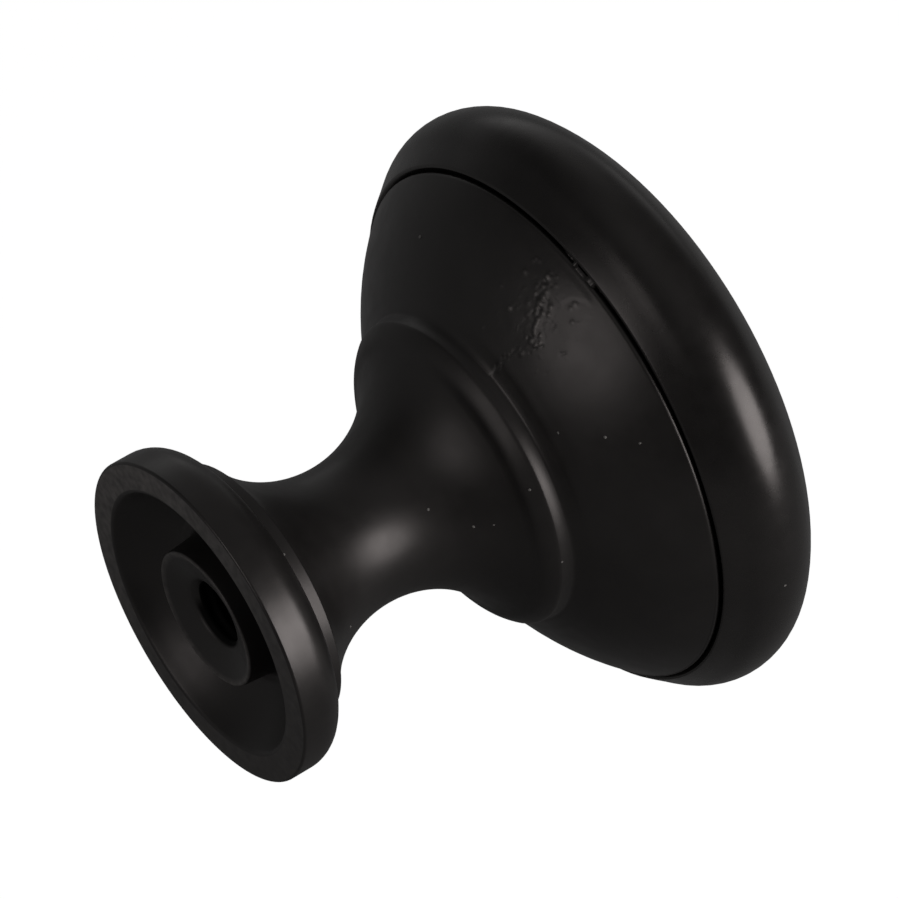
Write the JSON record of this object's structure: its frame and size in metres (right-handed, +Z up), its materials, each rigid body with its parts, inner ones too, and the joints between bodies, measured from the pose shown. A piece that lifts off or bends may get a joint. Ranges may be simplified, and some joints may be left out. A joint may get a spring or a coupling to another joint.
{
  "type": "cabinet knob",
  "caption": "Round black cabinet knob: dished foot with a tapped boss, waisted stem with a collar, sloping back and a domed cap rolled over its edge; screws to a drawer or door front.",
  "frame": {"origin": "centre of the foot's seating face, where the knob meets the cabinet front", "axes": "+Z up; +Y out of the seating face into the cabinet front; the head stands out toward -Y; the turned form is round about Y"},
  "size_m": [0.032, 0.03, 0.032],
  "materials": {
    "base_coat": "satin black coat on cast metal",
    "cap_coat": "satin black coat on drawn sheet metal"
  },
  "bodies": {
    "root": {"base": "base_coat", "cap": "cap_coat"}
  },
  "joints": []
}
